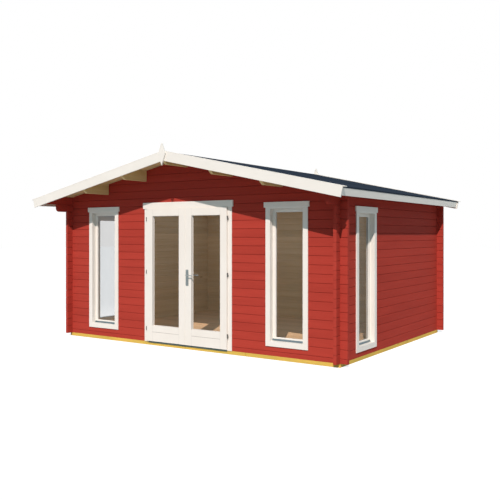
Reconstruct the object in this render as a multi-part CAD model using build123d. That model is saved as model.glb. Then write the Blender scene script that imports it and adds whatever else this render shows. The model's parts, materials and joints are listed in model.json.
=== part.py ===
from build123d import *
import os
from math import cos, radians, sin, tan

os.makedirs("parts", exist_ok=True)

# Log cabin with a gable roof, double glazed doors and four tall windows.
# Millimetres, Z up. The front faces -Y and the origin is on the ground under the middle of the roof.

# Walls of stacked logs
cabin_width = 4800.0  # outer face to outer face of the side walls
cabin_depth = 3600.0  # outer face to outer face of the front and back walls
wall_thickness = 45.0
log_course = 113.5  # height that each log adds
side_course_count = 19
log_end = 100.0  # how far log ends pass the crossing wall
log_chamfer = 6.0  # each long edge, so that a seam is a V
notch_clearance = 0.3
bracket_reach = 303.0  # the log below the top side log runs forward this far
bracket_radius = 55.0

# Base and floor
beam_height = 50.0
beam_width = 45.0
beam_joint_gap = 5.0
beam_joints_x = (-20.0, 1010.0)
joist_count = 7
joist_width = 45.0
floor_thickness = 19.0

# Roof
roof_slope = 12.2  # degrees
front_overhang = 510.0  # front wall to the bargeboard's outer face
back_overhang = 213.0
eave_reach = 283.0  # side wall to the bargeboards' foot
roof_board_thickness = 18.0
roofing_thickness = 3.0
roofing_turn_down = 13.0  # over the fascia's top
ridge_strip_width = 130.0  # on each slope
ridge_strip_thickness = 3.0
purlin_width = 45.0
purlin_height = 154.0
purlin_spacing = 783.0
purlin_pairs = 2
purlin_chamfer_length = 60.0
purlin_chamfer_height = 42.0

# Trim of the roof
bargeboard_thickness = 18.0
bargeboard_height = 126.0
mitre_gap = 1.0
cap_thickness = 10.0
cap_lap = 32.0  # over the roofing
cap_end_lip = 33.0
fascia_thickness = 18.0
fascia_height = 103.0
fascia_inset = 18.0  # behind the bargeboards' foot
finial_thickness = 24.0
finial_half_width = 62.0
finial_tip_half_width = 6.0
finial_rise = 94.0  # above the caps' ridge
finial_drop = 67.0  # below the bargeboards at the ridge
finial_shoulder = 136.0  # from the top down to the widest place

# Windows
casing_width = 70.0
casing_proud = 15.0
head_proud = 21.0
head_side_lip = 23.0
lining_thickness = 22.0
lining_reach = 45.0  # into the room, past the wall's inner face
inner_casing_thickness = 15.0
settling_gap = 20.0  # over each window, hidden by its head board
window_x = 1645.0
window_y = 756.0  # from the front wall's outer face
window_clear_width = 487.0
window_clear_height = 1711.0
window_head_height = 70.0
window_head_gap = 17.0  # casing left in sight below the head board
front_window_bottom = 173.0  # underside of the casing
sash_width = 42.0
sash_thickness = 35.0
sash_glass_setback = 7.0  # from the sash's outer face
glass_thickness = 8.0
glass_bite = 10.0  # held in the sash or the door leaf all round
drip_clearance = 2.0
drip_height = 22.0
drip_depth = 14.0
drip_top_depth = 3.0
drip_nose = 4.0

# Door
leaf_width = 719.5  # with its lip
leaf_thickness = 44.0
leaf_glass_setback = 32.0  # from the leaf's outer face
lip_thickness = 20.0
lip_width = 20.0
door_clearance = 5.0
meeting_gap = 7.0
leaf_top = 1992.0
threshold_height = 10.0
threshold_nose_thickness = 3.0
threshold_nose_drop = 12.0  # over the beam's outer face
stile_width = 111.0
top_rail_height = 104.0
bottom_rail_height = 227.0
rail_groove_height = 135.0  # above the leaf's foot
rail_groove_width = 4.0
rail_groove_depth = 3.0
door_head_height = 89.0
door_casing_width = 81.0
door_casing_proud = 10.0

# Hinges and lever handle
hinge_radius = 7.0
hinge_height = 58.0
hinge_pin_radius = 4.0
hinge_pin_length = 48.0
hinge_pin_clearance = 0.1
hinge_side_clearance = 5.0
hinge_rise_gap = 0.5
hinge_arm_thickness = 5.0
hinge_heights = (246.0, 1074.0, 1845.0)  # middles
handle_height = 1047.0
handle_inset = 40.0  # from the doors' middle line
plate_width = 46.0
plate_height = 226.0
plate_drop = 33.0  # lever's axis down to the plate's middle
plate_thickness = 7.0
spindle_radius = 4.0
spindle_clearance = 0.1
spindle_bore_radius = 10.0
lever_radius = 8.0
lever_neck = 38.0  # plate to the lever's centre line
lever_length = 120.0
lever_gap = 0.5

# Places worked out from the sizes above
slope_tan = tan(radians(roof_slope))
slope_cos = cos(radians(roof_slope))
slope_sin = sin(radians(roof_slope))
half_width = cabin_width / 2
inner_half_width = half_width - wall_thickness
y_front = front_overhang - (front_overhang + cabin_depth + back_overhang) / 2
y_back = y_front + cabin_depth
side_top = beam_height + side_course_count * log_course
ceiling_ridge = side_top + half_width * slope_tan
roof_stack = roof_board_thickness + roofing_thickness
eave_x = half_width + eave_reach
bargeboard_foot = (eave_x - roof_stack * slope_sin) / slope_cos
fascia_face = bargeboard_foot - fascia_inset
roof_front = y_front - front_overhang + bargeboard_thickness
roof_back = y_back + back_overhang - bargeboard_thickness
cap_ridge = ceiling_ridge + (roof_stack + cap_thickness) / slope_cos
front_seams = [beam_height + (k + 0.5) * log_course for k in range(side_course_count + 8)]
side_seams = [beam_height + k * log_course for k in range(1, side_course_count)]
gable_base = max(z for z in front_seams if z < leaf_top + door_head_height)
plate_base = side_seams[-1]
bracket_base = side_seams[-2]
plate_top = side_top + wall_thickness * slope_tan
purlin_places = [k * purlin_spacing for k in range(-purlin_pairs, purlin_pairs + 1)]
threshold_top = beam_height + threshold_height
leaf_outer_x = meeting_gap / 2 + leaf_width
leaf_front_y = y_front - door_casing_proud - door_clearance - lip_thickness
body_edge_x = leaf_outer_x - lip_width
door_clear_x = body_edge_x + door_clearance
door_clear_top = leaf_top - lip_width + door_clearance
door_opening_x = door_clear_x + lining_thickness
door_casing_x = door_clear_x + door_casing_width
leaf_back_y = leaf_front_y + leaf_thickness
leaf_foot = threshold_top + door_clearance
hinge_x = leaf_outer_x + hinge_side_clearance + hinge_radius
hinge_y = leaf_front_y + hinge_radius


def ceiling(x):
    """Height of the roof boards' underside."""
    return ceiling_ridge - abs(x) * slope_tan


def block(x0, x1, y0, y1, z0, z1):
    return Pos((x0 + x1) / 2, (y0 + y1) / 2, (z0 + z1) / 2) * Box(abs(x1 - x0), abs(y1 - y0), abs(z1 - z0))


def prism(points, run):
    """Solid with a flat outline, drawn out along a straight run."""
    outline = Wire.make_polygon([Vector(*point) for point in points], close=True)
    return Solid.extrude(Face(outline), Vector(*run))


def save(name, *solids):
    shape = solids[0] if len(solids) == 1 else Compound(children=list(solids))
    export_step(shape, f"parts/{name}.step")


def log_outline(bottom, top, seams):
    """(depth, height) points round a stack of logs, with a V on both faces at each seam."""
    face = [] if bottom in seams else [(0.0, bottom)]
    for z in seams:
        if z > bottom and z <= top:
            face.append((0.0, z - log_chamfer))
        if z >= bottom and z <= top:
            face.append((log_chamfer, z))
        if z >= bottom and z < top:
            face.append((0.0, z + log_chamfer))
    if top not in seams:
        face.append((0.0, top))
    return face + [(wall_thickness - depth, z) for depth, z in reversed(face)]


def log_wall_along_x(x0, x1, outer_y, inward, bottom, top):
    outline = log_outline(bottom, top, front_seams)
    return prism([(x0, outer_y + inward * depth, z) for depth, z in outline], (x1 - x0, 0, 0))


def notches_for_side_logs(outer_y, inward):
    """Places where the side walls' logs pass through a front or back wall, at both corners."""
    cuts = []
    inner_y = outer_y + inward * wall_thickness
    for side in (-1, 1):
        for k in range(side_course_count):
            base = beam_height + (k + 0.25) * log_course
            cuts.append(block(side * (inner_half_width - notch_clearance), side * (half_width + notch_clearance),
                              outer_y - inward, inner_y + inward,
                              base - notch_clearance / 2, base + log_course / 2 + notch_clearance / 2))
    return cuts


def notches_for_end_logs(outer_x, inward):
    """Places where the front and back walls' logs pass through a side wall."""
    cuts = []
    inner_x = outer_x + inward * wall_thickness
    for start in (y_front, y_back - wall_thickness):
        for k in range(side_course_count + 1):
            base = beam_height + (k - 0.25) * log_course
            cuts.append(block(outer_x - inward, inner_x + inward,
                              start - notch_clearance, start + wall_thickness + notch_clearance,
                              base - notch_clearance / 2, base + log_course / 2 + notch_clearance / 2))
    return cuts


def purlin_holes():
    cuts = []
    for x in purlin_places:
        cuts.append(block(x - purlin_width / 2 - notch_clearance, x + purlin_width / 2 + notch_clearance,
                          roof_front, roof_back,
                          ceiling(x) - purlin_height - notch_clearance, ceiling_ridge + purlin_height))
    return cuts


def under_roof():
    """Everything below the roof boards."""
    reach = eave_x + eave_reach
    points = [(-reach, roof_front, 0), (reach, roof_front, 0), (reach, roof_front, ceiling(reach)),
              (0, roof_front, ceiling_ridge), (-reach, roof_front, ceiling(reach))]
    return prism(points, (0, roof_back - roof_front, 0))


below_roof = under_roof()


def window_opening(z_bottom):
    """Hole in the logs for a window that stands at the origin and faces -Y."""
    half = window_clear_width / 2 + lining_thickness
    low = z_bottom + casing_width - lining_thickness
    high = z_bottom + casing_width + window_clear_height + lining_thickness + settling_gap
    return block(-half, half, -wall_thickness, 2 * wall_thickness, low, high)


def window_frame(z_bottom):
    """Lining through the wall, with a casing round it on each face and a head board outside."""
    clear = window_clear_width / 2
    low = z_bottom + casing_width
    high = low + window_clear_height
    outer = clear + casing_width
    head_bottom = high + window_head_gap
    head_top = head_bottom + window_head_height
    room_end = wall_thickness + lining_reach
    frame = block(-outer, outer, -casing_proud, 0, z_bottom, head_top)
    frame += block(-outer - head_side_lip, outer + head_side_lip, -head_proud, 0, head_bottom, head_top)
    frame += block(-clear - lining_thickness, clear + lining_thickness, 0, room_end,
                   low - lining_thickness, high + lining_thickness)
    frame += block(-outer, outer, wall_thickness, wall_thickness + inner_casing_thickness, z_bottom, head_top)
    return frame - block(-clear, clear, -2 * casing_proud, 2 * room_end, low, high)


def window_sash(z_bottom):
    """Sash with its back flush with the lining's end in the room."""
    clear = window_clear_width / 2
    low = z_bottom + casing_width
    high = low + window_clear_height
    sight = clear - sash_width
    back = wall_thickness + lining_reach
    sash = block(-clear, clear, back - sash_thickness, back, low, high)
    sash -= block(-sight, sight, 0, 2 * back, low + sash_width, high - sash_width)
    return sash - window_glass(z_bottom)


def window_glass(z_bottom):
    reach = window_clear_width / 2 - sash_width + glass_bite
    low = z_bottom + casing_width + sash_width - glass_bite
    high = z_bottom + casing_width + window_clear_height - sash_width + glass_bite
    front = wall_thickness + lining_reach - sash_thickness + sash_glass_setback
    return block(-reach, reach, front, front + glass_thickness, low, high)


def window_drip(z_bottom):
    """Metal strip along the sash's foot that throws the rain off."""
    clear = window_clear_width / 2 - drip_clearance
    low = z_bottom + casing_width + drip_clearance
    face = wall_thickness + lining_reach - sash_thickness
    outline = [(face, low), (face, low + drip_height), (face - drip_top_depth, low + drip_height),
               (face - drip_depth, low + drip_nose), (face - drip_depth, low)]
    return prism([(-clear, y, z) for y, z in outline], (2 * clear, 0, 0))


side_window_bottom = front_window_bottom - log_course / 2
front_window_spots = [Pos(-window_x, y_front, 0), Pos(window_x, y_front, 0)]
side_window_spots = [Pos(-half_width, y_front + window_y, 0) * Rot(0, 0, -90),
                     Pos(half_width, y_front + window_y, 0) * Rot(0, 0, 90)]


def build_base():
    inner = half_width - beam_width
    ends = [-inner, *beam_joints_x, inner]
    lengths = []
    for k in range(len(ends) - 1):
        start = ends[k] + (beam_joint_gap / 2 if k > 0 else 0)
        stop = ends[k + 1] - (beam_joint_gap / 2 if k < len(ends) - 2 else 0)
        lengths.append(block(start, stop, y_front, y_front + beam_width, 0, beam_height))
    save("front_beam", *lengths)
    save("back_beam", block(-inner, inner, y_back - beam_width, y_back, 0, beam_height))
    save("side_beams", *[block(side * inner, side * half_width, y_front, y_back, 0, beam_height)
                         for side in (-1, 1)])
    pitch = 2 * inner / (joist_count + 1)
    places = [-inner + (k + 1) * pitch for k in range(joist_count)]
    save("floor_joists", *[block(x - joist_width / 2, x + joist_width / 2, y_front + beam_width,
                                 y_back - beam_width, 0, beam_height) for x in places])
    save("floor_boards", block(-inner_half_width, inner_half_width, y_front + wall_thickness,
                               y_back - wall_thickness, beam_height, beam_height + floor_thickness))


def build_front_wall():
    end = half_width + log_end
    notches = notches_for_side_logs(y_front, 1)
    windows = [spot * window_opening(front_window_bottom) for spot in front_window_spots]
    left = log_wall_along_x(-end, -door_opening_x, y_front, 1, beam_height, gable_base)
    right = log_wall_along_x(door_opening_x, end, y_front, 1, beam_height, gable_base)
    gable = log_wall_along_x(-end, end, y_front, 1, gable_base, ceiling_ridge) & below_roof
    save("front_wall_left", left - notches - windows[0])
    save("front_wall_right", right - notches - windows[1])
    save("front_gable", gable - notches - windows - purlin_holes())


def build_back_wall():
    end = half_width + log_end
    wall = log_wall_along_x(-end, end, y_back, -1, beam_height, ceiling_ridge) & below_roof
    save("back_wall", wall - notches_for_side_logs(y_back, -1) - purlin_holes())


def build_side_walls():
    """Side walls, whose two top logs run forward under the roof.

    The top log reaches the bargeboard, and the log below it ends sooner, with its lower corner rounded.
    """
    start = y_front - log_end
    stop = y_back + log_end
    front = y_front - bracket_reach
    lower_outline = log_outline(beam_height, bracket_base, side_seams)
    bracket_outline = log_outline(bracket_base, plate_base, side_seams)
    plate_outline = log_outline(plate_base, plate_top, side_seams)
    brackets = []
    for name, side, spot in (("left_wall", -1, side_window_spots[0]), ("right_wall", 1, side_window_spots[1])):
        outer_x = side * half_width
        inner_x = outer_x - side * wall_thickness
        holes = notches_for_end_logs(outer_x, -side) + [spot * window_opening(side_window_bottom)]
        lower = prism([(outer_x - side * depth, start, z) for depth, z in lower_outline], (0, stop - start, 0))
        save(name, lower - holes)
        bracket = prism([(outer_x - side * depth, front, z) for depth, z in bracket_outline],
                        (0, stop - front, 0))
        plate = prism([(outer_x - side * depth, roof_front, z) for depth, z in plate_outline],
                      (0, stop - roof_front, 0))
        corner = block(outer_x, inner_x, front, front + bracket_radius, bracket_base, bracket_base + bracket_radius)
        rounding = Pos((outer_x + inner_x) / 2, front + bracket_radius, bracket_base + bracket_radius)
        corner -= rounding * Rot(0, 90, 0) * Cylinder(bracket_radius, 2 * wall_thickness)
        logs = (bracket - corner + plate) & below_roof
        brackets.append(logs - holes)
    save("bracket_logs", *brackets)


def purlin(x):
    low = ceiling(x) - purlin_height
    points = [(x - purlin_width / 2, roof_front, low + purlin_chamfer_height),
              (x - purlin_width / 2, roof_front + purlin_chamfer_length, low),
              (x - purlin_width / 2, roof_back - purlin_chamfer_length, low),
              (x - purlin_width / 2, roof_back, low + purlin_chamfer_height),
              (x - purlin_width / 2, roof_back, low + 2 * purlin_height),
              (x - purlin_width / 2, roof_front, low + 2 * purlin_height)]
    return prism(points, (purlin_width, 0, 0)) & below_roof


def on_slope(side, y, along, lift):
    """Point at a distance down the slope from the ridge and square above the roof boards' underside."""
    x = along * slope_cos + lift * slope_sin
    return (side * x, y, ceiling_ridge - along * slope_sin + lift * slope_cos)


def slope_slab(side, foot, low, high, y0, y1):
    """Slab on the roof's slope between two lifts, upright at the ridge and cut square at its foot."""
    points = [(0, y0, ceiling_ridge + low / slope_cos), on_slope(side, y0, foot, low),
              on_slope(side, y0, foot, high), (0, y0, ceiling_ridge + high / slope_cos)]
    return prism(points, (0, y1 - y0, 0))


def eave_strip(side, along0, along1, low, high):
    """Strip along an eave, square to the slope."""
    points = [on_slope(side, roof_front, along0, low), on_slope(side, roof_front, along1, low),
              on_slope(side, roof_front, along1, high), on_slope(side, roof_front, along0, high)]
    return prism(points, (0, roof_back - roof_front, 0))


def build_roof():
    save("purlins", *[purlin(x) for x in purlin_places])
    fascia_back = fascia_face - fascia_thickness
    roofing_foot = fascia_face + roofing_thickness
    fascias = []
    strips = []
    for name, side in (("left", -1), ("right", 1)):
        boards = slope_slab(side, fascia_back, 0, roof_board_thickness, roof_front, roof_back)
        save(f"{name}_roof_boards", boards)
        roofing = slope_slab(side, roofing_foot, roof_board_thickness, roof_stack, roof_front, roof_back)
        lip_low = roof_board_thickness - roofing_turn_down
        roofing += eave_strip(side, fascia_face, roofing_foot, lip_low, roof_stack)
        save(f"{name}_roofing", roofing)
        strips.append(slope_slab(side, ridge_strip_width, roof_stack, roof_stack + ridge_strip_thickness,
                                 roof_front + cap_lap, roof_back - cap_lap))
        fascias.append(eave_strip(side, fascia_back, fascia_face, roof_board_thickness - fascia_height,
                                  roof_board_thickness))
    save("ridge_strip", strips[0] + strips[1])
    save("eave_fascias", *fascias)


def sloped_board(side, y0, y1, low, high, foot):
    """Board along the slope between two lifts, cut square at its foot and mitred at the ridge."""
    start = -bargeboard_height
    board = prism([on_slope(side, y0, start, low), on_slope(side, y0, foot, low),
                   on_slope(side, y0, foot, high), on_slope(side, y0, start, high)], (0, y1 - y0, 0))
    keep = block(side * mitre_gap / 2, side * (eave_x + eave_reach), y0, y1, 0, 2 * ceiling_ridge)
    return board & keep


def finial(y0, y1):
    top = cap_ridge + finial_rise
    shoulder = top - finial_shoulder
    bottom = ceiling_ridge + (roof_stack - bargeboard_height) / slope_cos - finial_drop
    half, tip = finial_half_width, finial_tip_half_width
    points = [(-tip, y0, top), (-half, y0, shoulder), (0, y0, bottom), (half, y0, shoulder), (tip, y0, top)]
    return prism(points, (0, y1 - y0, 0))


def build_trim():
    for name, outer_y, inward in (("front", y_front - front_overhang, 1), ("back", y_back + back_overhang, -1)):
        inner_y = outer_y + inward * bargeboard_thickness
        low, high = min(outer_y, inner_y), max(outer_y, inner_y)
        save(f"{name}_bargeboards", *[sloped_board(side, low, high, roof_stack - bargeboard_height, roof_stack,
                                                   bargeboard_foot) for side in (-1, 1)])
        lap_y = inner_y + inward * cap_lap
        low, high = min(outer_y, lap_y), max(outer_y, lap_y)
        save(f"{name}_bargeboard_caps", *[sloped_board(side, low, high, roof_stack, roof_stack + cap_thickness,
                                                       bargeboard_foot + cap_end_lip) for side in (-1, 1)])
        finial_y = outer_y - inward * finial_thickness
        save(f"{name}_finial", finial(min(finial_y, outer_y), max(finial_y, outer_y)))


def build_windows():
    groups = (("front", front_window_spots, front_window_bottom), ("side", side_window_spots, side_window_bottom))
    drips = []
    for name, spots, bottom in groups:
        save(f"{name}_window_frames", *[spot * window_frame(bottom) for spot in spots])
        save(f"{name}_window_sashes", *[spot * window_sash(bottom) for spot in spots])
        save(f"{name}_window_glass", *[spot * window_glass(bottom) for spot in spots])
        drips += [spot * window_drip(bottom) for spot in spots]
    save("window_drips", *drips)


def build_door_frame():
    inner_y = y_front + wall_thickness
    inside_y = inner_y + inner_casing_thickness
    outside_y = y_front - door_casing_proud
    head_bottom = leaf_top + door_clearance
    lining_top = door_clear_top + lining_thickness
    floor_top = beam_height + floor_thickness
    for name, side in (("left_door_jamb", -1), ("right_door_jamb", 1)):
        clear, opening, casing = side * door_clear_x, side * door_opening_x, side * door_casing_x
        jamb = block(clear, opening, outside_y, inner_y, beam_height, door_clear_top)
        jamb += block(clear, casing, outside_y, y_front, beam_height, door_clear_top)
        jamb += block(clear, casing, inner_y, inside_y, floor_top, door_clear_top)
        save(name, jamb)
    head = block(-door_opening_x, door_opening_x, outside_y, inside_y, door_clear_top, lining_top)
    head += block(-door_casing_x, door_casing_x, outside_y, y_front, door_clear_top, head_bottom)
    head_x = door_casing_x + head_side_lip
    head += block(-head_x, head_x, y_front - head_proud, y_front, head_bottom, head_bottom + door_head_height)
    head += block(-door_casing_x, door_casing_x, inner_y, inside_y, door_clear_top, head_bottom + casing_width)
    save("door_head", head)
    threshold = block(-door_clear_x, door_clear_x, outside_y, inner_y, beam_height, threshold_top)
    threshold += block(-door_clear_x, door_clear_x, outside_y, outside_y + threshold_nose_thickness,
                       beam_height - threshold_nose_drop, threshold_top)
    save("threshold", threshold)


def door_leaf(side):
    """One leaf, with its lip over the frame at the hinge side and the top, and its glass."""
    meeting = side * meeting_gap / 2
    leaf = block(meeting, side * leaf_outer_x, leaf_front_y, leaf_front_y + lip_thickness, leaf_foot, leaf_top)
    leaf += block(meeting, side * body_edge_x, leaf_front_y, leaf_back_y, leaf_foot, leaf_top - lip_width)
    sight_in = side * (meeting_gap / 2 + stile_width)
    sight_out = side * (leaf_outer_x - stile_width)
    sight_low = leaf_foot + bottom_rail_height
    sight_high = leaf_top - top_rail_height
    leaf -= block(sight_in, sight_out, leaf_front_y - leaf_thickness, leaf_back_y + leaf_thickness,
                  sight_low, sight_high)
    groove_z = leaf_foot + rail_groove_height
    leaf -= block(sight_in, sight_out, leaf_front_y - rail_groove_depth, leaf_front_y + rail_groove_depth,
                  groove_z - rail_groove_width / 2, groove_z + rail_groove_width / 2)
    glass_y = leaf_front_y + leaf_glass_setback
    glass = block(sight_in - side * glass_bite, sight_out + side * glass_bite, glass_y,
                  glass_y + glass_thickness, sight_low - glass_bite, sight_high + glass_bite)
    return leaf - glass, glass


def hinge_halves(side, z):
    """Fixed half with its pin, and the half on the leaf that sits over it."""
    x = side * hinge_x
    foot = z - hinge_height / 2
    fixed = Pos(x, hinge_y, foot + hinge_height / 4) * Cylinder(hinge_radius, hinge_height / 2)
    fixed += Pos(x, hinge_y, z) * Cylinder(hinge_pin_radius, hinge_pin_length)
    fixed += block(x - hinge_arm_thickness / 2, x + hinge_arm_thickness / 2, hinge_y,
                   y_front - door_casing_proud, foot, z)
    base = z + hinge_rise_gap
    moving = Pos(x, hinge_y, base + hinge_height / 4) * Cylinder(hinge_radius, hinge_height / 2)
    moving += block(x, side * leaf_outer_x, hinge_y - hinge_arm_thickness / 2, hinge_y + hinge_arm_thickness / 2,
                    base, base + hinge_height / 2)
    moving -= Pos(x, hinge_y, z) * Cylinder(hinge_pin_radius + hinge_pin_clearance, 2 * hinge_height)
    return fixed, moving


def build_doors():
    left, left_glass = door_leaf(-1)
    right, right_glass = door_leaf(1)
    middle_y = leaf_front_y + leaf_thickness / 2
    spindle = Pos(handle_inset, middle_y, handle_height) * Rot(90, 0, 0)
    right -= spindle * Cylinder(spindle_bore_radius, 2 * leaf_thickness)
    save("left_door_leaf", left)
    save("right_door_leaf", right)
    save("left_door_glass", left_glass)
    save("right_door_glass", right_glass)
    pins = []
    for name, side in (("left_door_hinges", -1), ("right_door_hinges", 1)):
        pairs = [hinge_halves(side, z) for z in hinge_heights]
        pins += [fixed for fixed, moving in pairs]
        save(name, *[moving for fixed, moving in pairs])
    save("hinge_pins", *pins)

    plates = []
    plate_z = handle_height - plate_drop
    lever = spindle * Cylinder(spindle_radius, leaf_thickness + 2 * plate_thickness + 4 * lever_gap)
    for face_y, out in ((leaf_front_y, -1), (leaf_back_y, 1)):
        plate = block(handle_inset - plate_width / 2, handle_inset + plate_width / 2, face_y,
                      face_y + out * plate_thickness, plate_z - plate_height / 2, plate_z + plate_height / 2)
        plates.append(plate - spindle * Cylinder(spindle_radius + spindle_clearance, 4 * leaf_thickness))
        neck_start = face_y + out * (plate_thickness + lever_gap)
        neck_stop = face_y + out * (plate_thickness + lever_neck)
        lever += Pos(handle_inset, (neck_start + neck_stop) / 2, handle_height) * Rot(90, 0, 0) * Cylinder(
            lever_radius, abs(neck_stop - neck_start))
        lever += Pos(handle_inset, neck_stop, handle_height) * Sphere(lever_radius)
        lever += Pos(handle_inset + lever_length / 2, neck_stop, handle_height) * Rot(0, 90, 0) * Cylinder(
            lever_radius, lever_length)
        lever += Pos(handle_inset + lever_length, neck_stop, handle_height) * Sphere(lever_radius)
    save("handle_plates", *plates)
    save("door_lever", lever)


build_base()
build_front_wall()
build_back_wall()
build_side_walls()
build_roof()
build_trim()
build_windows()
build_door_frame()
build_doors()
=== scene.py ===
"""Looks of the red log cabin: its camera, light, floor, finishes and the finer pieces.

Metres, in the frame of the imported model: +Z up, the front faces -Y, the origin on the ground.
"""
import json
import math

import bmesh
import bpy
import numpy as np
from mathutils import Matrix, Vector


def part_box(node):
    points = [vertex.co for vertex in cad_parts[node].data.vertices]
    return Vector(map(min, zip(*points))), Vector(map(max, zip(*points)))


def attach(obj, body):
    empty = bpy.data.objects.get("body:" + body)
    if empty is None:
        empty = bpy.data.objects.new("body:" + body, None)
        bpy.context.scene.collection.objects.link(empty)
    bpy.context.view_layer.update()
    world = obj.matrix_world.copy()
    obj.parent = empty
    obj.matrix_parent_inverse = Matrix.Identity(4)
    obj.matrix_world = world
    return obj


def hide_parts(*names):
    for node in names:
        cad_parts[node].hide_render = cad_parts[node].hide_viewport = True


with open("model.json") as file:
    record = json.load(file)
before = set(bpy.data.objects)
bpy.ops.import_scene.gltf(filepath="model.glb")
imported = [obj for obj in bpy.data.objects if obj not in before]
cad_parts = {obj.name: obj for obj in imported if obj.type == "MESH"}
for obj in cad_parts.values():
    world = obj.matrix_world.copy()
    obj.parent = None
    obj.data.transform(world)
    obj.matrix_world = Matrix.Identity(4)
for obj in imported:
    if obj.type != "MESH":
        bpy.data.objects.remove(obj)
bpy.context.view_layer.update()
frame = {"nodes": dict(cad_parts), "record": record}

nodes = frame["nodes"]

# Walls
WALL = 0.045
COURSE = 0.1135
FRONT_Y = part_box("front_wall_left")[0].y
BACK_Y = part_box("back_wall")[1].y
HALF_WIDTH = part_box("right_wall")[1].x
BEAM_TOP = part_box("front_beam")[1].z

# Boards of the roof and the floor
SLOPE = math.radians(12.2)
BOARD = 0.018
BOARD_WIDTH = 0.1
BOARD_RISE = BOARD / math.cos(SLOPE)  # a roof board's thickness, measured upright
RIDGE_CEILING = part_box("left_roof_boards")[1].z - BOARD_RISE

# Windows
SASH_WIDTH = 0.487
SASH_BAR = 0.042
CASING = 0.070
HEAD_LIP = 0.023  # head board past the casing
SIDE_WINDOW = 0.756  # middle of a side window, from the front wall's outer face
GLASS_HOLD = 0.010  # hidden in the sash or the leaf all round

# Door leaves
LEAF_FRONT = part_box("right_door_leaf")[0].y
LEAF_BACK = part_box("right_door_leaf")[1].y
LEAF_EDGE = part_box("right_door_leaf")[1].x
LEAF_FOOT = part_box("right_door_leaf")[0].z
LEAF_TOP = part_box("right_door_leaf")[1].z
MEETING_GAP = 0.007
STILE = 0.111
RAIL_GROOVE = 0.135  # above the leaf's foot

# Hinges and lever handle
HINGE_RADIUS = 0.007
HINGE_Y = LEAF_FRONT + HINGE_RADIUS
HINGE_X = LEAF_EDGE + 0.012
HINGE_MIDDLES = (0.246, 1.074, 1.845)
HANDLE_X, HANDLE_Z = 0.040, 1.047
BEND_POINTS, BAR_POINTS = 9, 7  # in a lever's bend and along its straight part


# Shader maths

class Signal:
    """A socket of a material. Arithmetic on signals adds the Math nodes that work it out."""

    def __init__(self, finish, socket):
        self.finish = finish
        self.socket = socket

    def math(self, operation, *values):
        """The result of a Math node on these values."""
        return self.finish.node("ShaderNodeMath", {"operation": operation}, dict(enumerate(values)))

    def __add__(self, other):
        return self.math("ADD", self, other)

    __radd__ = __add__

    def __sub__(self, other):
        return self.math("SUBTRACT", self, other)

    def __rsub__(self, other):
        return self.math("SUBTRACT", other, self)

    def __mul__(self, other):
        return self.math("MULTIPLY", self, other)

    __rmul__ = __mul__

    def __truediv__(self, other):
        return self.math("DIVIDE", self, other)

    def __pow__(self, other):
        return self.math("POWER", self, other)

    def __gt__(self, other):
        return self.math("GREATER_THAN", self, other)

    def __lt__(self, other):
        return self.math("LESS_THAN", self, other)

    def __abs__(self):
        return self.math("ABSOLUTE", self)

    def __floor__(self):
        return self.math("FLOOR", self)


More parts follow.
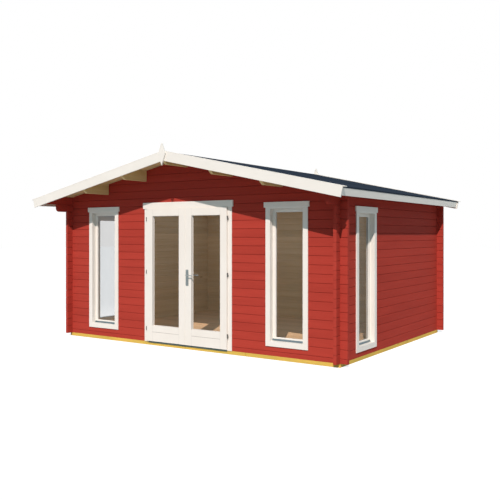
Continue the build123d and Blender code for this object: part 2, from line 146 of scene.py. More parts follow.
class Finish:
    """A material in the making: its nodes, and the shader that they feed."""

    def __init__(self, name, **constants):
        self.material = bpy.data.materials.new(name)
        self.material.use_nodes = True
        self.tree = self.material.node_tree
        self.shader = next(n for n in self.tree.nodes if n.type == "BSDF_PRINCIPLED")
        for socket, value in constants.items():
            self.shader.inputs[socket.replace("_", " ")].default_value = value

    def node(self, kind, settings=None, values=None, output=0):
        """Adds a node of a type, with its settings first and then the values or links of its sockets."""
        node = self.tree.nodes.new(kind)
        for key, value in (settings or {}).items():
            setattr(node, key, value)
        for key, value in (values or {}).items():
            if isinstance(value, Signal):
                self.tree.links.new(value.socket, node.inputs[key])
            else:
                node.inputs[key].default_value = value
        return Signal(self, node.outputs[output])

    def place(self):
        """Object coordinates, which at rest are metres in the frame."""
        return self.node("ShaderNodeTexCoord", output="Object")

    def stretched(self, scales):
        """Object coordinates, each multiplied by its own scale."""
        return self.node("ShaderNodeVectorMath", {"operation": "MULTIPLY"}, {0: self.place(), 1: scales})

    def axis(self, name):
        """One of the place's coordinates: X, Y or Z."""
        return self.node("ShaderNodeSeparateXYZ", None, {0: self.place()}, name)

    def noise(self, scales, detail=3.0):
        """Cloudy values round 0.5, stretched by one scale for each axis."""
        values = {"Vector": self.stretched(scales), "Scale": 1.0, "Detail": detail, "Roughness": 0.55}
        return self.node("ShaderNodeTexNoise", None, values)

    def spots(self, scales, size, share):
        """Round spots in that share of a grid's cells: 1 within 0.4 of their size, falling to 0 at it."""
        values = {"Vector": self.stretched(scales), "Scale": 1.0}
        cells = self.node("ShaderNodeTexVoronoi", {"feature": "F1"}, values)
        colour = Signal(self, cells.socket.node.outputs["Color"])
        chosen = self.node("ShaderNodeSeparateColor", None, {0: colour}) < share
        return self.ramp(cells, size, size * 0.4) * chosen

    def ramp(self, value, low, high, start=0.0, stop=1.0):
        """A straight rise from start at low to stop at high, held at both ends."""
        return self.node("ShaderNodeMapRange", {"clamp": True},
                         {0: value, 1: low, 2: high, 3: start, 4: stop})

    def spread(self, noise, start=0.0, stop=1.0):
        """A noise drawn out: start where it is 0.3 or less, stop where it is 0.7 or more."""
        return self.ramp(noise, 0.3, 0.7, start, stop)

    def chance(self, value):
        """One chance value from 0 to 1 for each whole number."""
        return self.node("ShaderNodeTexWhiteNoise", {"noise_dimensions": "1D"}, {"W": value})

    def mix(self, factor, first, second):
        """The first colour where the factor is 0, and the second where it is 1."""
        return self.node("ShaderNodeMix", {"data_type": "RGBA"}, {0: factor, 6: first, 7: second}, 2)

    def shade(self, colour, factor):
        """A colour made darker or lighter by a factor."""
        colour = colour if isinstance(colour, Signal) else colour[:3]
        return self.node("ShaderNodeVectorMath", {"operation": "SCALE"}, {0: colour, "Scale": factor})

    def relief(self, height, distance):
        """Feeds the shader's normal with a bump, on which a height of 1 is that many metres."""
        values = {"Height": height, "Distance": distance, "Strength": 1.0}
        self.feed("Normal", self.node("ShaderNodeBump", None, values))

    def feed(self, socket, signal):
        """Links a signal to one of the shader's sockets."""
        self.tree.links.new(signal.socket, self.shader.inputs[socket])


def rgb(red, green, blue):
    """A colour from its three parts, at full cover."""
    return (red, green, blue, 1.0)


def lengthwise(along, lengthways, across):
    """Scales for a pattern that runs along one axis: slow along it and fast across it."""
    return tuple(lengthways if axis == along else across for axis in "XYZ")


def pine(finish, along, light, dark, knots=0.18):
    """Colour of planed pine: long soft rings along one axis, fine fibres and a few knots."""
    rings = finish.ramp(finish.noise(lengthwise(along, 0.55, 16.0), detail=4.0), 0.34, 0.66)
    fibres = finish.spread(finish.noise(lengthwise(along, 4.0, 260.0), detail=2.0), 0.93, 1.05)
    knot = finish.spots(lengthwise(along, 2.2, 8.0), size=0.16, share=knots)
    knot_colour = rgb(dark[0] * 0.45, dark[1] * 0.36, dark[2] * 0.3)
    colour = finish.mix(rings, rgb(*light), rgb(*dark))
    colour = finish.mix(knot * 0.75, colour, knot_colour)
    return finish.shade(colour, fibres), rings


def log_stain(name, along, seam_base):
    """Red stain on the outside of a stack of logs, bare pine on the side that faces the room.

    A course's number is the height above seam_base in whole courses, and its tone is drawn from that
    number. Fibres run along the logs, the foot of each groove gets painted shade that darkens it, and a
    point is on the room's side when it lies further in than the middle of the walls.
    """
    finish = Finish(name, Roughness=0.62, Specular_IOR_Level=0.02)
    stain, thick_stain = rgb(0.425, 0.0505, 0.0345), rgb(0.375, 0.0438, 0.0302)
    light, dark = (0.865, 0.645, 0.39), (0.785, 0.56, 0.315)
    x, y, z = finish.axis("X"), finish.axis("Y"), finish.axis("Z")
    courses = (z - seam_base) / COURSE
    number = math.floor(courses)
    tone = finish.chance(number + 0.5) * 0.07 + 0.965
    from_seam = (0.5 - abs(courses - number - 0.5)) * COURSE
    # painted shade: within 1.2 mm of a seam the red is darkened to 0.7, rising to full tone 4.6 mm away, as
    # if the groove's foot were in shadow
    foot = finish.ramp(from_seam, 0.0012, 0.0046, 0.7, 1.0)
    fibres = finish.noise(lengthwise(along, 2.0, 120.0))
    broad = finish.noise(lengthwise(along, 0.8, 9.0))
    red = finish.mix(finish.spread(broad), stain, thick_stain)
    red = finish.shade(red, tone * foot * finish.spread(fibres, 0.95, 1.04))
    bare, rings = pine(finish, along, light, dark, knots=0.1)
    bare = finish.shade(bare, finish.chance(number + 40.5) * 0.14 + 0.92)
    inside = (abs(x) < HALF_WIDTH - WALL / 2) * (y > FRONT_Y + WALL / 2) * (y < BACK_Y - WALL / 2)
    finish.feed("Base Color", finish.mix(inside, red, bare))
    finish.feed("Roughness", finish.spread(fibres, 0.56, 0.68))
    finish.relief(fibres + rings * 0.4, 0.0006)
    return finish.material


def bare_pine(name, along, light, dark, board=None):
    """Planed pine without paint. Where a board's width is given, each width along Y has its own tone."""
    finish = Finish(name, Roughness=0.6, Specular_IOR_Level=0.3)
    colour, rings = pine(finish, along, light, dark)
    if board:
        number = math.floor(finish.axis("Y") / board)
        colour = finish.shade(colour, finish.chance(number + 0.5) * 0.16 + 0.9)
    fibres = finish.noise(lengthwise(along, 3.0, 160.0))
    finish.feed("Base Color", colour)
    finish.feed("Roughness", finish.spread(fibres, 0.52, 0.68))
    finish.relief(fibres + rings * 0.5, 0.0006)
    return finish.material


def treated_beam(name, along):
    """Rough-sawn beam, yellow-green from its treatment, with saw marks across and drying cracks along."""
    finish = Finish(name, Roughness=0.75, Specular_IOR_Level=0.2)
    yellow, green, knot_colour = rgb(0.78, 0.50, 0.095), rgb(0.62, 0.44, 0.085), rgb(0.25, 0.15, 0.04)
    patches = finish.ramp(finish.noise((1.6, 1.6, 1.6), detail=4.0), 0.35, 0.65)
    fibres = finish.noise(lengthwise(along, 3.0, 90.0), detail=4.0)
    marks = finish.noise(lengthwise(along, 220.0, 5.0), detail=2.0)
    knot = finish.spots(lengthwise(along, 3.0, 18.0), size=0.17, share=0.2)
    cracks = finish.ramp(finish.noise(lengthwise(along, 1.2, 70.0), detail=2.0), 0.72, 0.78)
    colour = finish.mix(knot * 0.6, finish.mix(patches, yellow, green), knot_colour)
    colour = finish.shade(colour, finish.spread(fibres, 0.86, 1.06) * (1.0 - cracks * 0.35))
    finish.feed("Base Color", colour)
    finish.relief(fibres + marks * 0.6 - cracks, 0.0012)
    return finish.material


def trim_paint(name, along, joints=(), groove=None):
    """Cream white paint on planed boards: faint brush lines, soft sheen, and fine lines at the joints.

    The two joints are distances from the middle line, on both sides of it, where the rails meet the
    stiles. The groove is the height of a line of painted shade on the rail between them, along the
    rail's groove.
    """
    finish = Finish(name, Roughness=0.45, Specular_IOR_Level=0.4)
    cream, grey_cream = rgb(0.808, 0.771, 0.702), rgb(0.778, 0.738, 0.666)
    broad = finish.noise((2.3, 2.3, 2.3))
    brush = finish.noise(lengthwise(along, 6.0, 240.0), detail=2.0)
    colour = finish.mix(finish.spread(broad), cream, grey_cream)
    tone = finish.spread(brush, 0.985, 1.01)
    height = brush * 0.25
    if joints:
        across = abs(finish.axis("X"))
        for joint in joints:
            line = finish.ramp(abs(across - joint), 0.0006, 0.0022)
            tone = tone * (line * 0.22 + 0.78)
            height = height + line
        rail = finish.ramp(across - joints[0], 0.0, 0.001) * finish.ramp(joints[1] - across, 0.0, 0.001)
        # painted shade: the rail is darkened by 0.4 within 2.2 mm of the groove's height, as if in the
        # groove's shadow
        clear = finish.ramp(abs(finish.axis("Z") - groove), 0.0022, 0.0036)
        tone = tone * (1.0 - rail * (1.0 - clear) * 0.4)
    finish.feed("Base Color", finish.shade(colour, tone))
    finish.feed("Roughness", finish.spread(brush, 0.4, 0.52))
    finish.relief(height, 0.001)
    return finish.material


def mineral_felt(name):
    """Dark blue-grey felt with a skin of fine mineral grains, and paler worn patches."""
    finish = Finish(name, Roughness=1.0, Specular_IOR_Level=0.0)
    fresh, worn = rgb(0.026, 0.0363, 0.053), rgb(0.0345, 0.045, 0.063)
    grains = finish.noise((900.0, 900.0, 900.0), detail=2.0)
    coarse = finish.noise((240.0, 240.0, 240.0), detail=2.0)
    patches = finish.noise((1.5, 1.1, 1.5), detail=4.0)
    colour = finish.mix(finish.spread(patches), fresh, worn)
    bright = finish.ramp(grains, 0.62, 0.75, 1.0, 1.7) * finish.spread(coarse, 0.85, 1.15)
    finish.feed("Base Color", finish.shade(colour, bright))
    finish.relief(grains + coarse, 0.0008)
    return finish.material


def sheet_glass(name, cover):
    """Glass that hides a small share of what is behind it.

    The share is cover, plus up to 0.012 in smudges, plus 0.4 times the fourth power of a rim's weight,
    which goes from 0 where the glass is seen square on to 1 at its shallowest.
    """
    finish = Finish(name, Roughness=0.02, Specular_IOR_Level=0.5)
    finish.shader.inputs["Base Color"].default_value = rgb(0.02, 0.025, 0.022)
    rim = finish.node("ShaderNodeLayerWeight", None, {"Blend": 0.5}, "Facing")
    smudge = finish.ramp(finish.noise((3.0, 3.0, 1.2), detail=4.0), 0.4, 0.75, 0.0, 0.012)
    finish.feed("Alpha", rim ** 4.0 * 0.4 + cover + smudge)
    return finish.material


def brushed_metal(name, colour, along, roughness, metallic=1.0):
    """Metal brushed along one axis: fine lines in its tone, and a cloudy change in its gloss."""
    finish = Finish(name, Metallic=metallic)
    lines = finish.noise(lengthwise(along, 12.0, 900.0), detail=2.0)
    cloud = finish.noise((9.0, 9.0, 9.0))
    finish.feed("Base Color", finish.shade(rgb(*colour), finish.spread(lines, 0.88, 1.1)))
    finish.feed("Roughness", finish.spread(cloud, roughness - 0.06, roughness + 0.08))
    finish.relief(lines, 0.0001)
    return finish.material


stain_front = log_stain("red stain, front and back logs", "X", BEAM_TOP - COURSE / 2)
stain_side = log_stain("red stain, side logs", "Y", BEAM_TOP)
paint_upright = trim_paint("trim paint, upright boards", "Z")
paint_level = trim_paint("trim paint, level boards", "X")
paint_deep = trim_paint("trim paint, eave boards", "Y")
rail_ends = (MEETING_GAP / 2 + STILE, LEAF_EDGE - STILE)
paint_leaf = trim_paint("trim paint, door leaves", "Z", rail_ends, LEAF_FOOT + RAIL_GROOVE)
pine_purlin = bare_pine("bare pine, purlins", "Y", (0.74, 0.58, 0.28), (0.66, 0.50, 0.21))
pine_roof = bare_pine("bare pine, roof boards", "X", (0.76, 0.59, 0.30), (0.66, 0.49, 0.22), BOARD_WIDTH)
pine_floor = bare_pine("bare pine, floor", "X", (0.80, 0.545, 0.31), (0.74, 0.47, 0.245), BOARD_WIDTH)
beam_long = treated_beam("treated wood, long beams", "X")
beam_deep = treated_beam("treated wood, side beams", "Y")
felt = mineral_felt("mineral felt")
glass = sheet_glass("clear glass", cover=0.045)
glass_side = sheet_glass("lightly tinted glass", cover=0.13)
drip_metal = brushed_metal("grey aluminium", (0.17, 0.23, 0.26), "X", 0.45)
threshold_metal = brushed_metal("dark threshold aluminium", (0.085, 0.135, 0.125), "X", 0.5, metallic=0.6)
handle_steel = brushed_metal("brushed steel, handles", (0.24, 0.28, 0.28), "Z", 0.32)
lever_steel = brushed_metal("brushed steel, levers", (0.32, 0.36, 0.36), "X", 0.5, metallic=0.5)
hinge_steel = brushed_metal("dark steel, hinges", (0.13, 0.13, 0.12), "Z", 0.42)
seal_rubber = trim_paint("white rubber seal", "Z")

FINISHES = {
    "front_beam": beam_long, "back_beam": beam_long, "side_beams": beam_deep, "floor_joists": beam_deep,
    "floor_boards": pine_floor, "front_wall_left": stain_front, "front_wall_right": stain_front,
    "front_gable": stain_front, "back_wall": stain_front, "left_wall": stain_side, "right_wall": stain_side,
    "bracket_logs": stain_side, "purlins": pine_purlin, "left_roof_boards": pine_roof,
    "right_roof_boards": pine_roof, "left_roofing": felt, "right_roofing": felt, "ridge_strip": felt,
    "front_bargeboards": paint_level, "back_bargeboards": paint_level, "front_bargeboard_caps": paint_level,
    "back_bargeboard_caps": paint_level, "eave_fascias": paint_deep, "front_finial": paint_upright,
    "back_finial": paint_upright, "front_window_frames": paint_upright, "side_window_frames": paint_upright,
    "front_window_sashes": paint_upright, "side_window_sashes": paint_upright, "front_window_glass": glass,
    "side_window_glass": glass_side, "window_drips": drip_metal, "left_door_jamb": paint_upright,
    "right_door_jamb": paint_upright, "door_head": paint_level, "threshold": threshold_metal,
    "hinge_pins": hinge_steel, "left_door_leaf": paint_leaf, "left_door_glass": glass,
    "left_door_hinges": hinge_steel, "right_door_leaf": paint_leaf, "right_door_glass": glass,
    "right_door_hinges": hinge_steel, "handle_plates": handle_steel, "door_lever": lever_steel,
}
BODIES = {node: body for body, members in frame["record"]["behaviour"]["bodies"].items() for node in members}
for node_name, finish in FINISHES.items():
    mesh = nodes[node_name].data
    mesh.materials.clear()
    mesh.materials.append(finish)


# Shapes

def make_piece(name, points, faces, finish, slot, body="cabin"):
    """A mesh from its points and faces, riding on a body."""
    mesh = bpy.data.meshes.new(name)
    mesh.from_pydata(np.asarray(points, float).tolist(), [], [list(map(int, face)) for face in faces])
    mesh.materials.append(finish)
    piece = bpy.data.objects.new(name, mesh)
    bpy.context.scene.collection.objects.link(piece)
    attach(piece, body)
    return piece


def carried(profile, path, side, up):
    """A closed profile carried along a path, with a flat face at each end.

    The point at step u of the profile and v of the path is path[v] + profile[u, 0] * side[v]
    + profile[u, 1] * up[v].
    """
    path, side, up = (np.atleast_2d(np.asarray(a, float)) for a in (path, side, up))
    side, up = np.broadcast_to(side, path.shape), np.broadcast_to(up, path.shape)
    profile = np.asarray(profile, float)
    points = path[:, None] + profile[None, :, :1] * side[:, None] + profile[None, :, 1:] * up[:, None]
    count, steps = len(profile), len(path)
    u = np.arange(count)
    v = np.arange(steps - 1)[:, None] * count
    quads = np.stack([v + u, v + (u + 1) % count, v + (u + 1) % count + count, v + u + count], -1)
    faces = quads.reshape(-1, 4).tolist()
    faces += [list(range(count - 1, -1, -1)), list(range((steps - 1) * count, steps * count))]
    return points.reshape(-1, 3), faces


def joined(parts):
    """Several (points, faces) as one."""
    starts = np.cumsum([0] + [len(points) for points, faces in parts])
    points = np.concatenate([points for points, faces in parts])
    faces = [[corner + start for corner in face] for (_, rows), start in zip(parts, starts) for face in rows]
    return points, faces


def grooved_profile(start, stop, thickness, groove, depth):
    """Outline of tongued boards side by side: flat on top, with a V below at every joint.

    Across the boards the lower face is at 0, and at each whole board width it rises to depth over
    half a groove's width on each side.
    """
    joints = np.arange(start + BOARD_WIDTH, stop - groove, BOARD_WIDTH)
    low = np.stack([joints - groove / 2, joints, joints + groove / 2], 1).ravel()
    rise = np.tile([0.0, depth, 0.0], len(joints))
    across = np.concatenate([[start], low, [stop, stop, start]])
    height = np.concatenate([[0.0], rise, [0.0, thickness, thickness]])
    return np.stack([across, height], 1)


def roof_plank_shape(side):
    """Roof boards of one slope, from the ridge to the eave, with a V underneath at every joint."""
    low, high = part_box("right_roof_boards" if side > 0 else "left_roof_boards")
    reach = max(abs(low.x), abs(high.x)) - BOARD * math.sin(SLOPE)
    profile = grooved_profile(low.y, high.y, BOARD_RISE, groove=0.008, depth=0.004)
    start = np.array([0.0, 0.0, RIDGE_CEILING])
    stop = np.array([side * reach, 0.0, RIDGE_CEILING - reach * math.tan(SLOPE)])
    return carried(profile, [start, stop], [0, 1, 0], [0, 0, 1])


def floor_plank_shape():
    """Floor boards from wall to wall, with a V on top at every joint."""
    low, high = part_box("floor_boards")
    thickness = high.z - low.z
    profile = grooved_profile(low.y, high.y, thickness, groove=0.005, depth=0.003)
    profile[:, 1] = thickness - profile[:, 1]
    return carried(profile, [[low.x, 0, low.z], [high.x, 0, low.z]], [0, 1, 0], [0, 0, 1])


def felt_shape(side):
    """Felt in strips along the ridge, each lapped over the one below it.

    Down the slope the skin's height rises by one lap within each strip and drops back where the next
    begins. At the eave it's turned down, square to the slope, over the fascia's top. The eave's points
    are first set out as distances along the slope and square to it, and then turned by the slope.
    """
    strips, lap, lap_edge = 3, 0.0028, 0.0004
    low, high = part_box("right_roofing" if side > 0 else "left_roofing")
    reach = max(abs(low.x), abs(high.x))
    base = RIDGE_CEILING + BOARD_RISE
    rise = high.z - base
    ends = np.linspace(0.0, reach, strips + 1)
    starts = ends[:-1] + lap_edge * (ends[:-1] > 0)
    xs = np.stack([starts, ends[1:]], 1).ravel()
    tops = np.tile([rise, rise + lap], strips)
    across, down = math.cos(SLOPE), math.sin(SLOPE)
    skin = rise * across
    foot = (reach - (BOARD + skin) * down) / across
    hem = (low.z - RIDGE_CEILING + foot * down) / across
    eave = np.array([[foot, BOARD + skin], [foot, hem], [foot - skin, hem], [foot - skin, BOARD]])
    eave = np.stack([eave[:, 0] * across + eave[:, 1] * down,
                     RIDGE_CEILING - eave[:, 0] * down + eave[:, 1] * across], 1)
    top = np.stack([xs, base - xs * math.tan(SLOPE) + tops], 1)
    profile = np.concatenate([top, eave, [[0.0, base]]])
    profile[:, 0] *= side
    return carried(profile, [[0, low.y, 0], [0, high.y, 0]], [1, 0, 0], [0, 0, 1])


def ring(count=28):
    """Points round a circle of radius 1."""
    angle = np.arange(count) * 2 * math.pi / count
    return np.stack([np.cos(angle), np.sin(angle)], 1)


def turned(rows, centre, axis=(0, 0, 1), outline=None):
    """A turned shape: at each row's distance along the axis, a circle of that row's radius.

    With an outline in place of the circle, each row's second number is a scale.
    """
    rows, axis = np.asarray(rows, float), np.asarray(axis, float)
    side = np.cross(axis, [0, 0, 1]) if abs(axis[2]) < 0.5 else np.array([1.0, 0, 0])
    up = np.cross(side, axis)
    path = np.asarray(centre, float) + rows[:, :1] * axis
    return carried(ring() if outline is None else outline, path, rows[:, 1:] * side, rows[:, 1:] * up)


def slab(low, high):
    """A plain box from its lowest to its highest corner."""
    low, high = np.asarray(low, float), np.asarray(high, float)
    width, depth, height = high - low
    outline = [[0, 0], [width, 0], [width, depth], [0, depth]]
    return carried(outline, [low, low + [0, 0, height]], [1, 0, 0], [0, 1, 0])


def bordered(low, high, profile):
    """A profile carried round a rectangle, mitred at its corners, as a ring without ends.

    At each corner the profile's first number moves the point inwards on both axes, and its second
    is the depth.
    """
    corners = np.array([[low[0], low[1]], [high[0], low[1]], [high[0], high[1]], [low[0], high[1]]], float)
    inwards = np.array([[1, 1], [-1, 1], [-1, -1], [1, -1]], float)
    profile = np.asarray(profile, float)
    flat = corners[:, None] + inwards[:, None] * profile[None, :, :1]
    depth = np.broadcast_to(profile[None, :, 1], flat.shape[:2])
    points = np.stack([flat[..., 0], depth, flat[..., 1]], -1)
    count = len(profile)
    u = np.arange(count)
    v = np.arange(4)[:, None]
    ahead, across = (v + 1) % 4 * count, (u + 1) % count
    quads = np.stack([v * count + u, v * count + across, ahead + across, ahead + u], -1)
    return points.reshape(-1, 3), quads.reshape(-1, 4).tolist()


def outward(piece):
    """Turns every face of a closed piece outwards."""
    shape = bmesh.new()
    shape.from_mesh(piece.data)
    bmesh.ops.recalc_face_normals(shape, faces=shape.faces)
    shape.to_mesh(piece.data)
    shape.free()
    return piece


def eased(node_name, width=0.002):
    """A copy of a node's solid with its sharp edges rounded by a small radius, in place of the node."""
    mesh = nodes[node_name].data.copy()
    shape = bmesh.new()
    shape.from_mesh(mesh)
    bmesh.ops.remove_doubles(shape, verts=shape.verts, dist=1e-5)
    bmesh.ops.dissolve_limit(shape, angle_limit=math.radians(1.0), verts=shape.verts, edges=shape.edges)
    for face in shape.faces:
        face.smooth = False
    shape.to_mesh(mesh)
    shape.free()
    piece = bpy.data.objects.new(node_name + "_eased", mesh)
    bpy.context.scene.collection.objects.link(piece)
    mesh.materials.clear()
    mesh.materials.append(FINISHES[node_name])
    bevel = piece.modifiers.new("rounded edges", "BEVEL")
    bevel.width = width
    bevel.segments = 2
    bevel.limit_method = "ANGLE"
    bevel.angle_limit = math.radians(25)
    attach(piece, BODIES[node_name])
    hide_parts(node_name)


# Finer pieces

def planks_and_felt():
    """Boards in the roof and the floor and strips of felt, in place of plain slabs and sheets."""
    for side, word in ((-1, "left"), (1, "right")):
        planks = outward(make_piece(word + "_roof_planks", *roof_plank_shape(side), pine_roof, "bare_wood"))
        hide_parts(word + "_roof_boards")
        strips = outward(make_piece(word + "_felt_strips", *felt_shape(side), felt, "roofing_felt"))
        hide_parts(word + "_roofing")
    planks = outward(make_piece("floor_planks", *floor_plank_shape(), pine_floor, "floor_wood"))
    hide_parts("floor_boards")


def rounded_edges():
    """Small rounded edges on all painted trim, and larger ones on the beams and purlins."""
    for node_name in ("front_bargeboards", "back_bargeboards", "front_bargeboard_caps",
                      "back_bargeboard_caps", "eave_fascias", "front_finial", "back_finial",
                      "front_window_frames", "side_window_frames", "front_window_sashes",
                      "side_window_sashes", "left_door_jamb", "right_door_jamb", "door_head",
                      "left_door_leaf", "right_door_leaf"):
        eased(node_name)
    for node_name in ("front_beam", "back_beam", "side_beams", "purlins"):
        eased(node_name, width=0.003)


def barrel(x, low, high):
    """Turned half of a hinge: full radius along its length, and narrower in two steps at each end."""
    steps = ((0.0, 0.72), (0.0012, 0.92), (0.003, 1.0))
    length = high - low
    rows = [(step, HINGE_RADIUS * share) for step, share in steps]
    rows += [(length - step, HINGE_RADIUS * share) for step, share in reversed(steps)]
    return turned(rows, (x, HINGE_Y, low))


def hinges():
    """Fixed halves with their pins on the cabin, and the halves on each leaf that sit over them."""
    half_height, half_pin, pin_radius = 0.029, 0.024, 0.004
    half_arm, arm_inset, moving_inset, rise = 0.0025, 0.002, 0.003, 0.0005
    casing_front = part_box("left_door_jamb")[0].y
    fixed = []
    for word, side in (("left", -1), ("right", 1)):
        x, edge = side * HINGE_X, side * LEAF_EDGE
        moving = []
        for z in HINGE_MIDDLES:
            low, high = z - half_height, z + half_height
            fixed.append(barrel(x, low, z))
            fixed.append(turned([(0.0, pin_radius), (2 * half_pin, pin_radius)], (x, HINGE_Y, z - half_pin)))
            fixed.append(slab((x - half_arm, HINGE_Y, low + arm_inset),
                              (x + half_arm, casing_front, z - arm_inset)))
            moving.append(barrel(x, z + rise, high + rise))
            moving.append(slab((min(x, edge), HINGE_Y - half_arm, z + moving_inset),
                               (max(x, edge), HINGE_Y + half_arm, high - arm_inset)))
        piece = outward(make_piece(word + "_hinge_knuckles", *joined(moving), hinge_steel, "hinge_steel",
                                   word + "_door"))
        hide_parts(word + "_door_hinges")
    piece = outward(make_piece("hinge_knuckles_fixed", *joined(fixed), hinge_steel, "hinge_steel"))
    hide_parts("hinge_pins")


def plate_outline(half_width, half_height, corner, count=6):
    """Rectangle with rounded corners, as points round its middle."""
    turn = np.linspace(0, math.pi / 2, count)
    points = []
    for k, (sx, sz) in enumerate(((1, 1), (-1, 1), (-1, -1), (1, -1))):
        angle = turn + k * math.pi / 2
        points.append(np.stack([sx * (half_width - corner) + corner * np.cos(angle),
                                sz * (half_height - corner) + corner * np.sin(angle)], 1))
    return np.concatenate(points)


def handle_plates():
    """Plates with rounded corners on both faces, each with a lock barrel and two screws.

    Each list of rows gives a distance from the leaf's face and the radius or scale there.
    """
    plate_rows = [(0, 1), (0.0055, 1), (0.0066, 0.985), (0.007, 0.96)]
    lock_rows = [(0.006, 1), (0.0095, 1)]
    barrel_rows = [(0.006, 0.0085), (0.0098, 0.0085), (0.0104, 0.0078)]
    screw_rows = [(0.006, 0.0034), (0.0076, 0.0034), (0.0084, 0.002)]
    low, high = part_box("handle_plates")
    middle = (low.z + high.z) / 2
    screw_inset, barrel_z = 0.012, HANDLE_Z - 0.072
    lock_z = barrel_z - 0.008
    plate = plate_outline((high.x - low.x) / 2, (high.z - low.z) / 2, 0.008)
    lock = plate_outline(0.005, 0.0165, 0.005)
    parts = []
    for face, out in ((LEAF_FRONT, -1), (LEAF_BACK, 1)):
        axis = (0, out, 0)
        parts.append(turned(plate_rows, (HANDLE_X, face, middle), axis, plate))
        parts.append(turned(lock_rows, (HANDLE_X, face, lock_z), axis, lock))
        parts.append(turned(barrel_rows, (HANDLE_X, face, barrel_z), axis))
        for z in (low.z + screw_inset, high.z - screw_inset):
            parts.append(turned(screw_rows, (HANDLE_X, face, z), axis))
    piece = outward(make_piece("handle_plates_rounded", *joined(parts), handle_steel, "handle_steel",
                               "right_door"))
    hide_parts("handle_plates")


def lever_path(face, out):
    """Middle line of a lever: straight out of the plate, a quarter turn, then along the leaf."""
    start, reach, bend, length = 0.0075, 0.045, 0.016, 0.128
    after_bend, before_end = 0.012, 0.004
    turn = np.linspace(0, math.pi / 2, BEND_POINTS)
    bar = np.linspace(bend + after_bend, length - before_end, BAR_POINTS)
    across = np.concatenate([[0.0], bend * (1 - np.cos(turn)), bar, [length]])
    away = np.concatenate([[start], reach - bend + bend * np.sin(turn), np.full(BAR_POINTS + 1, reach)])
    return np.stack([HANDLE_X + across, face + out * away, np.full(len(across), HANDLE_Z)], 1)


def levers():
    """Both levers as one piece on their spindle, each a bar that narrows to a rounded end.

    The bar's section is round, 5 percent taller than it is wide.
    """
    thick, thin, tip, taller = 0.0078, 0.0068, 0.004, 1.05
    spindle_radius, past_leaf = 0.004, 0.008
    collar_rows = [(0.0075, 0.0108), (0.0105, 0.0108), (0.0112, 0.0096)]
    spindle_rows = [(0.0, spindle_radius), (LEAF_BACK - LEAF_FRONT + 2 * past_leaf, spindle_radius)]
    size = np.concatenate([np.full(BEND_POINTS + 1, thick), np.linspace(thick, thin, BAR_POINTS), [tip]])
    size = size[:, None]
    parts = [turned(spindle_rows, (HANDLE_X, LEAF_FRONT - past_leaf, HANDLE_Z), (0, 1, 0))]
    for face, out in ((LEAF_FRONT, -1), (LEAF_BACK, 1)):
        path = lever_path(face, out)
        step = np.gradient(path, axis=0)
        step /= np.linalg.norm(step, axis=1)[:, None]
        side = np.cross(step, [0, 0, 1])
        parts.append(carried(ring(20), path, side * size, size * [0, 0, taller]))
        parts.append(turned(collar_rows, (HANDLE_X, face, HANDLE_Z), (0, out, 0)))
    piece = outward(make_piece("lever_bars", *joined(parts), lever_steel, "handle_steel", "lever"))
    for face in piece.data.polygons:
        face.use_smooth = True
    piece.data.set_sharp_from_angle(angle=math.radians(50))
    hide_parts("door_lever")


def seals():
    """White strips: two, one above the other, in the gap where the leaves meet, and one under the head."""
    left, right = -0.0045, 0.0024
    front, back = LEAF_FRONT + 0.004, LEAF_FRONT + 0.014
    split = LEAF_TOP - 0.022
    lower = slab((left, front, LEAF_FOOT + 0.002), (right, back, split))
    upper = slab((left, front, split), (right, back, LEAF_TOP - 0.001))
    outward(make_piece("meeting_seal", *lower, seal_rubber, "white_trim", "left_door"))
    outward(make_piece("meeting_seal_top", *upper, seal_rubber, "white_trim", "left_door"))
    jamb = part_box("left_door_jamb")[0].y
    head = slab((-LEAF_EDGE, jamb - 0.009, LEAF_TOP + 0.0008), (LEAF_EDGE, jamb, LEAF_TOP + 0.005))
    outward(make_piece("head_seal", *head, seal_rubber, "white_trim"))


def window_places(wall):
    """The middle of each window on the front or side walls, with its directions across and inwards."""
    if wall == "front":
        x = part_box("front_window_frames")[1].x - (SASH_WIDTH / 2 + CASING + HEAD_LIP)
        return [((spot, FRONT_Y, 0.0), (1, 0, 0), (0, 1, 0)) for spot in (-x, x)]
    return [((side * HALF_WIDTH, FRONT_Y + SIDE_WINDOW, 0.0), (0, side, 0), (-side, 0, 0))
            for side in (-1, 1)]


def window_beads(wall):
    """Slanted beads round the glass on the front or side walls, made flat and then turned to each wall."""
    face, glass_face = 0.0575, 0.062
    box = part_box(wall + "_window_sashes")
    low, high = box[0].z + SASH_BAR, box[1].z - SASH_BAR
    half = SASH_WIDTH / 2 - SASH_BAR
    profile = [(0, face), (0.001, face), (0.0035, glass_face), (0, glass_face)]
    flat, faces = bordered((-half, low), (half, high), profile)
    parts = []
    for spot, across, inwards in window_places(wall):
        points = np.asarray(spot) + flat[:, :1] * across + flat[:, 1:2] * inwards + flat[:, 2:] * [0, 0, 1]
        parts.append((points, faces))
    outward(make_piece(wall + "_window_beads", *joined(parts), paint_upright, "white_trim"))


def door_beads(word):
    """Slanted beads round one leaf's glass, on its outer and its inner face."""
    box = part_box(word + "_door_glass")
    low = (box[0].x + GLASS_HOLD, box[0].z + GLASS_HOLD)
    high = (box[1].x - GLASS_HOLD, box[1].z - GLASS_HOLD)
    front, back = box[0].y, box[1].y
    bead_front, bead_back = front - 0.010, LEAF_BACK - 0.0005
    outer = bordered(low, high, [(0, bead_front), (0.001, bead_front), (0.0035, front), (0, front)])
    inner = bordered(low, high, [(0, back), (0.006, back), (0.002, bead_back), (0, bead_back)])
    outward(make_piece(word + "_door_beads", *joined([outer, inner]), paint_upright, "white_trim",
                       word + "_door"))


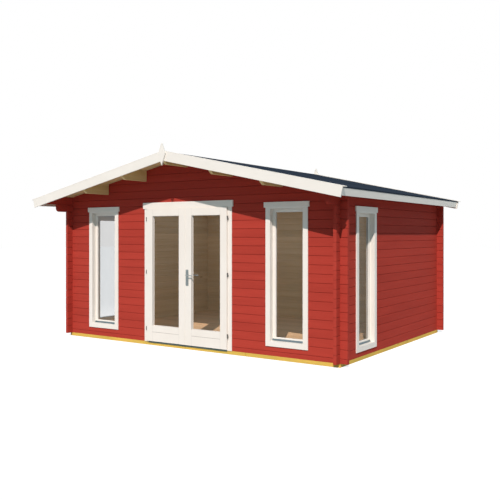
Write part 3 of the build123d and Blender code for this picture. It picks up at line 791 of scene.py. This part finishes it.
def threshold_strip():
    """Metal strip under the doors: sloped nose, then fine ribs along it, each with sloped sides."""
    nose, groove, rib_pitch = 0.006, 0.0012, 0.005
    low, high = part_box("threshold")
    depth, rise = high.y - low.y, high.z - low.z
    ribs = np.arange(2 * nose, depth - 0.008, rib_pitch)
    along = (ribs[:, None] + [0.0, 0.0012, 0.0025, 0.0037]).ravel()
    tops = np.tile([rise - groove, rise, rise, rise - groove], len(ribs))
    depths = np.concatenate([[0, 0, nose], along, [depth, depth]])
    heights = np.concatenate([[0, rise * 0.6, rise - groove], tops, [rise - groove, 0]])
    ends = [(low.x, low.y, low.z), (high.x, low.y, low.z)]
    shape = carried(np.stack([depths, heights], 1), ends, [0, 1, 0], [0, 0, 1])
    piece = outward(make_piece("threshold_ribs", *shape, threshold_metal, "threshold_metal"))
    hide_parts("threshold")


planks_and_felt()
rounded_edges()
hinges()
handle_plates()
levers()
seals()
window_beads("front")
window_beads("side")
door_beads("left")
door_beads("right")
threshold_strip()


# Floor, light and camera

def ground():
    """A flat floor. Seen by the camera, in gloss or through glass, it is white, and it keeps the shadow.

    Its glow fades in step with the square of the distance, from 12 to 36 square metres, which is from
    3.5 to 6 m away, so that its white comes down to the sky's and no edge shows between them.
    """
    reach, near_square, far_square, far_share = 60.0, 12.0, 36.0, 0.8
    corners = np.array([[-1, -1, 0], [1, -1, 0], [1, 1, 0], [-1, 1, 0]]) * reach
    mesh = bpy.data.meshes.new("ground")
    mesh.from_pydata(corners.tolist(), [], [[0, 1, 2, 3]])
    floor = bpy.data.objects.new("ground", mesh)
    bpy.context.scene.collection.objects.link(floor)
    finish = Finish("pale floor", Roughness=1.0, Specular_IOR_Level=0.0)
    finish.shader.inputs["Base Color"].default_value = rgb(0.42, 0.42, 0.42)
    finish.shader.inputs["Emission Strength"].default_value = 1.0
    seen = ray_is_seen(finish)
    x, y = finish.axis("X"), finish.axis("Y")
    fade = finish.ramp(x * x + y * y, near_square, far_square, 1.0, far_share)
    glow = finish.shade(rgb(0.78, 0.78, 0.78), fade)
    finish.feed("Emission Color", finish.mix(seen, rgb(0, 0, 0), glow))
    mesh.materials.append(finish.material)


def ray_is_seen(finish):
    """1 for the rays of the camera, of gloss and of glass, else 0."""
    rays = finish.node("ShaderNodeLightPath", output="Is Camera Ray")
    gloss = Signal(finish, rays.socket.node.outputs["Is Glossy Ray"])
    through = Signal(finish, rays.socket.node.outputs["Is Transmission Ray"])
    return rays.math("MAXIMUM", rays, gloss.math("MAXIMUM", gloss, through))


class Sky(Finish):
    """The world's nodes, made in the same way as a material's."""

    def __init__(self):
        world = bpy.data.worlds.new("sky")
        bpy.context.scene.world = world
        world.use_nodes = True
        self.tree = world.node_tree
        self.shader = next(n for n in self.tree.nodes if n.type == "BACKGROUND")


def sun():
    """A sun in front and to the right, 40 degrees high, with hard shadows."""
    lamp = bpy.data.lights.new("sun", "SUN")
    lamp.energy = 3.72
    lamp.color = (1.0, 0.892, 0.855)
    lamp.angle = math.radians(0.3)
    stand = bpy.data.objects.new("sun", lamp)
    direction = np.array([0.340, -0.690, 0.638])
    direction /= np.linalg.norm(direction)
    turn = math.atan2(direction[1], direction[0]) + math.pi / 2
    stand.rotation_euler = (math.acos(direction[2]), 0.0, turn)
    bpy.context.scene.collection.objects.link(stand)


def light():
    """The sun, a cool even sky that the camera sees as white, and a blue glow for the room."""
    sky = Sky()
    seen = ray_is_seen(sky)
    sky.feed("Color", sky.mix(seen, rgb(0.23, 0.375, 0.445), rgb(1.0, 1.0, 1.0)))
    sun()
    lamp = bpy.data.lights.new("room glow", "AREA")
    lamp.shape = "RECTANGLE"
    lamp.size, lamp.size_y = 4.4, 3.2
    lamp.energy = 19.0
    lamp.color = (0.48, 0.70, 1.0)
    hung = bpy.data.objects.new("room glow", lamp)
    hung.location = (0.0, FRONT_Y + 1.8, 2.1)
    bpy.context.scene.collection.objects.link(hung)


def camera():
    """The photo's camera: level, seen from the front right, with its frame moved by small shifts."""
    view = bpy.data.cameras.new("camera")
    view.lens = 48.786
    view.sensor_width = 36.0
    view.shift_x = 0.0007
    view.shift_y = -0.0313
    view.clip_end = 200.0
    stand = bpy.data.objects.new("camera", view)
    stand.location = (6.0903, -9.0878, 1.6230)
    stand.rotation_euler = (math.radians(90.0), 0.0, math.radians(33.9989))
    bpy.context.scene.collection.objects.link(stand)
    bpy.context.scene.camera = stand


ground()
light()
camera()
bpy.context.scene.view_settings.view_transform = "Standard"
